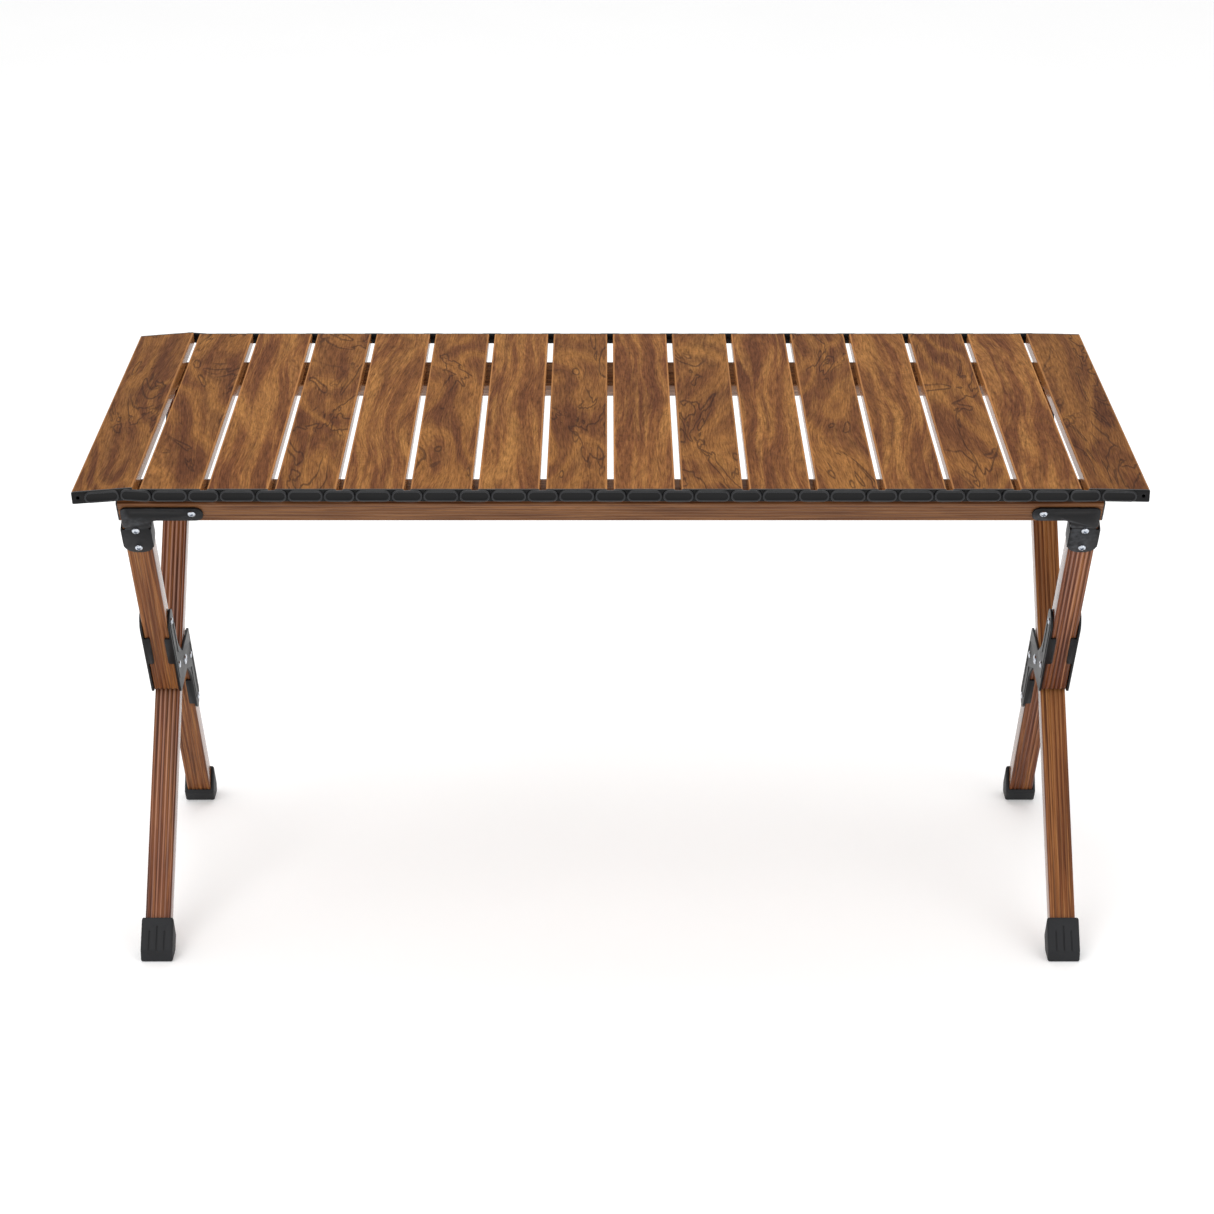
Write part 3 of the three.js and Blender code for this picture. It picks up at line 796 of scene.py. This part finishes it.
def foot_solid(leg_frame, y):
    """A rubber boot with a level sole, an upright toe, a low inner lip and three slots on its front."""
    toward = -leg_frame.outer_side
    half_depth = LEG_THICKNESS / 2 + GAP + FOOT_WALL
    half_width = LEG_WIDTH / 2 + GAP + FOOT_WALL
    outer = y + toward * half_depth
    inner = y - toward * half_depth
    toe = (outer, leg_frame.along_leg(outer, FOOT_TOE_RISE))
    sole = (toe[0] - FOOT_TOE_RISE * math.sin(leg_frame.lean),
            toe[1] - FOOT_TOE_RISE * math.cos(leg_frame.lean))
    top = leg_frame.along_leg(outer, FOOT_OUTER_RISE)
    outline = [(inner, leg_frame.along_leg(inner, 0)), sole, toe, (outer, top),
               (inner, leg_frame.along_leg(inner, FOOT_INNER_RISE))]
    boot = prism(outline, "x", -half_width, half_width)
    boot = shaped(boot, bevel=2.6, segments=4)
    room = LEG_THICKNESS / 2 + GAP
    pocket = block(-LEG_WIDTH / 2 - GAP, LEG_WIDTH / 2 + GAP, y - room, y + room,
                   leg_frame.leg_end(y) - GAP, 0)
    slots = []
    for x, start in FOOT_SLOTS:
        slot_outline = stadium(FOOT_SLOT_LENGTH, FOOT_SLOT_WIDTH, steps=6)
        slot = prism(slot_outline, "y", -FOOT_SLOT_DEPTH, FOOT_SLOT_DEPTH)
        slot.transform(Matrix.Rotation(math.pi / 2, 4, "Y"))
        slot.transform(Matrix.Translation((x, outer, top - start - FOOT_SLOT_LENGTH / 2)))
        slots.append(slot)
    return shaped(boot, cuts=[pocket, *slots], bevel=0.35)


def add_feet(place, leg_frame, y):
    boot = foot_solid(leg_frame, y)
    for side_name, side in SIDES:
        name = f"{place}_foot_{side_name}"
        add_piece(f"{name}_boot", boot.copy(), leg_frame.matrix(side * LEG_X), leg_frame.body, rubber,
                  "foot_rubber", replaces=[name])


def add_rail(leg_frame):
    """A rail tube, grooved on its upright faces, and the two lids that plug its ends."""
    place = leg_frame.place
    section = fluted_outline(RAIL_HEIGHT / 2, RAIL_DEPTH / 2, FLUTES, FLUTE_PITCH, RAIL_FLUTE_DEPTH)
    outer = [(b, a) for a, b in section]
    inner = scaled(outer, 0.91, 0.90)
    middle_z = leg_frame.rail_low + RAIL_HEIGHT / 2
    end = RAIL_HALF_LENGTH
    tube = skin([(outer, -end), (outer, end), (inner, end), (inner, -end)], "x", ring=True)
    centre = leg_frame.matrix(0, leg_frame.rail_middle, middle_z)
    add_piece(f"{place}_rail_tube", tube, centre, leg_frame.body, rail_wood, "frame_woodgrain",
              RAIL_SEEDS[place], [f"{place}_rail"])
    flat = box_outline(RAIL_DEPTH / 2, RAIL_HEIGHT / 2, 2)
    seat = end + GAP
    for side_name, side in SIDES:
        lid = skin([(flat, seat), (flat, seat + 1.0), (scaled(flat, 0.96, 0.96), seat + 1.5)], "x")
        plug = prism(scaled(flat, 0.88, 0.87), "x", seat - 8, seat + 0.5)
        lid = shaped(lid, joins=[plug])
        if side < 0:
            lid = mirrored(lid, -1, 1)
        name = f"{place}_rail_cap_{side_name}"
        add_piece(f"{name}_lid", lid, centre, leg_frame.body, plastic, "cap_plastic", replaces=[name])


def bracket_solid(arm_end):
    """An L of sheet steel with a pressed panel, relief notches and two wings bent around the leg."""
    half = BRACKET_HALF
    shoulder = -half + BRACKET_SHOULDER
    low, top = BRACKET_ARM_LOW, BRACKET_ARM_TOP
    wing_low, wing_top = BRACKET_WING_LOW, BRACKET_WING_TOP
    corners = [(shoulder, top, 9), (shoulder, wing_top + 3, 1), (-half, wing_top, 1),
               (-half, BRACKET_LEG_LOW, 19), (half, BRACKET_LEG_LOW, 19),
               (half, low, 9), (arm_end, low, 11), (arm_end, top, 11)]
    face = GAP + BRACKET_THICKNESS
    plate = prism(rounded(corners, 8, 8), "y", GAP, face)
    wings = []
    inside = GAP + 1.2
    for side in (-1, 1):
        ends = sorted((side * half, side * (half - BRACKET_THICKNESS)))
        wing = rounded([(-BRACKET_WING_DEPTH, wing_low, 5), (-BRACKET_WING_DEPTH, wing_top, 5),
                        (inside, wing_top, 0.2), (inside, wing_low, 0.2)], 4, 5)
        wings.append(prism(wing, "x", *ends))
    notches = [prism(circle(BRACKET_NOTCH_RADIUS, 20, (x, BRACKET_NOTCH_Z)), "y", -3, 5)
               for x in (shoulder, half)]
    bracket = shaped(plate, joins=wings, cuts=notches, bevel=BRACKET_BEVEL)
    panel_start, panel_end = -4, arm_end - 27
    length, middle = panel_end - panel_start, (panel_start + panel_end) / 2
    mouth = moved(stadium(length, BRACKET_PANEL_HEIGHT), middle, BRACKET_PANEL_Z)
    floor = moved(stadium(length, BRACKET_PANEL_HEIGHT, 1.4), middle, BRACKET_PANEL_Z)
    panel = skin([(floor, face - BRACKET_PANEL_DEPTH), (mouth, face), (mouth, face + 1)], "y")
    return shaped(bracket, cuts=[panel])


def screw_solid():
    """A pan head with a cross recess, pointing along +Y, and a short shank."""
    shank = circle(SCREW_SHANK_RADIUS, 28)
    loops = [(shank, -4), (shank, -0.01)]
    loops += [(circle(radius, 28), height) for radius, height in SCREW_HEAD]
    head = skin(loops, "y")
    arms = [prism(rounded([(-a, -b), (a, -b), (a, b), (-a, b)], 0.3, 2), "y", 0.4, 4)
            for a, b in ((2.6, 0.8), (0.8, 2.6))]
    return shaped(head, cuts=arms)


def add_bracket(leg_frame, side_name, side):
    """A corner bracket and its screws, two in the leg and one in the rail."""
    name = f"{leg_frame.place}_corner_bracket_{side_name}"
    outward = leg_frame.outer_side
    arm_end = BRACKET_LONG_ARM if side == outward else BRACKET_SHORT_ARM
    solid = mirrored(bracket_solid(arm_end), -side, outward)
    corner = leg_frame.matrix(side * LEG_X, leg_frame.rail_outer, leg_frame.rail_low)
    add_piece(f"{name}_plate", solid, corner, leg_frame.body, steel, "black_steel", replaces=[name])
    screw = screw_solid()
    rail_screw = (arm_end - BRACKET_RAIL_SCREW_FROM_END, BRACKET_RAIL_SCREW_Z)
    face = outward * (GAP + BRACKET_THICKNESS)
    turn = Matrix.Rotation(0 if outward > 0 else math.pi, 4, "Z")
    for number, (x, z) in enumerate([*BRACKET_LEG_SCREWS, rail_screw], 1):
        spin = Matrix.Rotation(math.radians(25 * number + 10 * side), 4, "Y")
        where = corner @ Matrix.Translation(Vector((-side * x, face, z)) * MM)
        add_piece(f"{name}_screw_{number}", screw.copy(), where @ turn @ spin, leg_frame.body, zinc,
                  "zinc_steel")


# --- the joint ----------------------------------------------------------------------------------

def plate_solid():
    """A joint plate on the +X side of its leg, with pressed ribs and tabs bent around leg A's halves."""
    outline = [*PLATE_HALF_OUTLINE, *((-y, -z, r) for y, z, r in PLATE_HALF_OUTLINE)]
    low, high = PLATE_FACE, PLATE_FACE + PLATE_THICKNESS
    plate = prism(rounded(outline, 4, 4), "x", low, high)
    tabs = []
    for y0, y1, z0, z1 in PLATE_TABS:
        for sign in (1, -1):
            ends = sorted((sign * y0, sign * y1))
            reach = low - PLATE_TAB_REACH
            face = rounded([(reach, sign * z0, 3), (low + 1, sign * z0, 0.2),
                            (low + 1, sign * z1, 0.2), (reach, sign * z1, 3)], 3, 4)
            tabs.append(prism(face, "y", *ends))
    ribs = []
    for sign in (1, -1):
        for y, z, length in PLATE_RIBS:
            upright = [(b, a) for a, b in stadium(length, PLATE_RIB_WIDTH, 0, 6)]
            rib = prism(upright, "x", high - 0.2, high + PLATE_RIB_RISE)
            rib.transform(Matrix.Translation((0, sign * y, sign * z)))
            ribs.append(rib)
    return shaped(plate, joins=[*tabs, *ribs], bevel=PLATE_BEVEL)


def rivet_solid(radius, height, shank):
    """A rivet along X with a domed head at each end."""
    reach = PLATE_FACE + PLATE_THICKNESS
    head = [(radius, 0.0), (radius, 0.5), (radius * 0.86, height * 0.75), (radius * 0.5, height)]
    loops = [(circle(r, 24), -reach - h) for r, h in reversed(head)]
    loops += [(circle(shank, 24), -reach), (circle(shank, 24), reach)]
    loops += [(circle(r, 24), reach + h) for r, h in head]
    body = skin(loops, "x")
    dimples = []
    for side in (-1, 1):
        ends = sorted((side * (reach + height - 0.5), side * (reach + 9)))
        dimples.append(prism(circle(radius * 0.34, 16), "x", *ends))
    return shaped(body, cuts=dimples)


def build_joint():
    """On each side: two plates, the pivot rivet, four tube rivets, and the bush with the caps' plastic."""
    for side_name, side in SIDES:
        for which, direction in (("outer", side), ("inner", -side)):
            name = f"joint_plate_{which}_{side_name}"
            solid = mirrored(plate_solid(), direction, 1)
            add_piece(f"{name}_pressing", solid, frame_a.matrix(side * LEG_X), frame_a.body, steel,
                      "black_steel", replaces=[name])
        pivot = rivet_solid(*PIVOT_RIVET)
        add_piece(f"pivot_rivet_{side_name}_pin", pivot, frame_a.matrix(side * LEG_X), frame_a.body, zinc,
                  "zinc_steel", replaces=[f"pivot_rivet_{side_name}"])
        for number, (y, z) in enumerate(TUBE_RIVETS, 1):
            add_piece(f"tube_rivet_{side_name}_{number}", rivet_solid(*TUBE_RIVET),
                      frame_a.matrix(side * LEG_X, y, z), frame_a.body, zinc, "zinc_steel")
        bush = frame["nodes"][f"pivot_bush_{side_name}"]
        bush.data.materials.clear()
        bush.data.materials.append(plastic)


def build_frames():
    for leg_frame in (frame_a, frame_b):
        add_rail(leg_frame)
        for side_name, side in SIDES:
            add_bracket(leg_frame, side_name, side)
    # The last pair in each call is the strength of the painted highlight on the left and the right tube.
    add_leg("leg_a_upper", frame_a, -HALF_OFFSET_A, LEG_A_INNER_END, frame_a.rail_low - GAP, 11.0,
            (golden_wood, russet_wood), (0.2, 0.35))
    add_leg("leg_a_lower", frame_a, HALF_OFFSET_A, frame_a.leg_end(HALF_OFFSET_A), -LEG_A_INNER_END, 17.0,
            (golden_wood, russet_wood), (0.2, 0.2))
    add_leg("leg_b", frame_b, 0, frame_b.leg_end(0), frame_b.rail_low - GAP, 23.0,
            (russet_wood, golden_wood), (0.6, 0.35))
    add_feet("back", frame_a, HALF_OFFSET_A)
    add_feet("front", frame_b, 0)


# --- floor, light and camera --------------------------------------------------------------------

def build_floor():
    floor = prism(circle(FLOOR_RADIUS, 64), "z", -FLOOR_THICKNESS, 0)
    mesh = bpy.data.meshes.new("floor")
    floor.to_mesh(mesh)
    floor.free()
    n = Nodes("floor")
    soft = n.noise(n.place((3, 3, 3)), 3.0)
    n.put(n.shader.inputs["Base Color"], n.mix(soft, (0.90, 0.90, 0.90), (0.93, 0.93, 0.93)))
    n.put(n.shader.inputs["Roughness"], 0.7)
    n.put(n.shader.inputs["Emission Color"], (1, 1, 1, 1))
    n.put(n.shader.inputs["Emission Strength"], 0.16)
    mesh.materials.append(n.material)
    thing = bpy.data.objects.new("floor", mesh)
    bpy.context.scene.collection.objects.link(thing)


def add_light(name, location, target, size, power):
    lamp = bpy.data.lights.new(name, "AREA")
    lamp.shape = "SQUARE"
    lamp.size = size
    lamp.energy = power
    thing = bpy.data.objects.new(name, lamp)
    thing.location = location
    thing.rotation_euler = (Vector(target) - Vector(location)).to_track_quat("-Z", "Y").to_euler()
    bpy.context.scene.collection.objects.link(thing)


def build_studio():
    world = bpy.data.worlds.new("studio")
    world.use_nodes = True
    back = world.node_tree.nodes["Background"]
    back.inputs["Color"].default_value = (1, 1, 1, 1)
    back.inputs["Strength"].default_value = 0.85
    bpy.context.scene.world = world
    for light in LIGHTS:
        add_light(*light)
    bpy.context.scene.view_settings.view_transform = "Standard"


def build_camera():
    camera = bpy.data.cameras.new("camera")
    camera.sensor_width = CAMERA_SENSOR
    camera.lens = CAMERA_LENS
    thing = bpy.data.objects.new("camera", camera)
    thing.location = CAMERA_PLACE
    thing.rotation_euler = (math.radians(90 - CAMERA_PITCH_DOWN), 0, 0)
    bpy.context.scene.collection.objects.link(thing)
    bpy.context.scene.camera = thing


build_top()
build_frames()
build_joint()
build_floor()
build_studio()
build_camera()

bpy.context.view_layer.update()
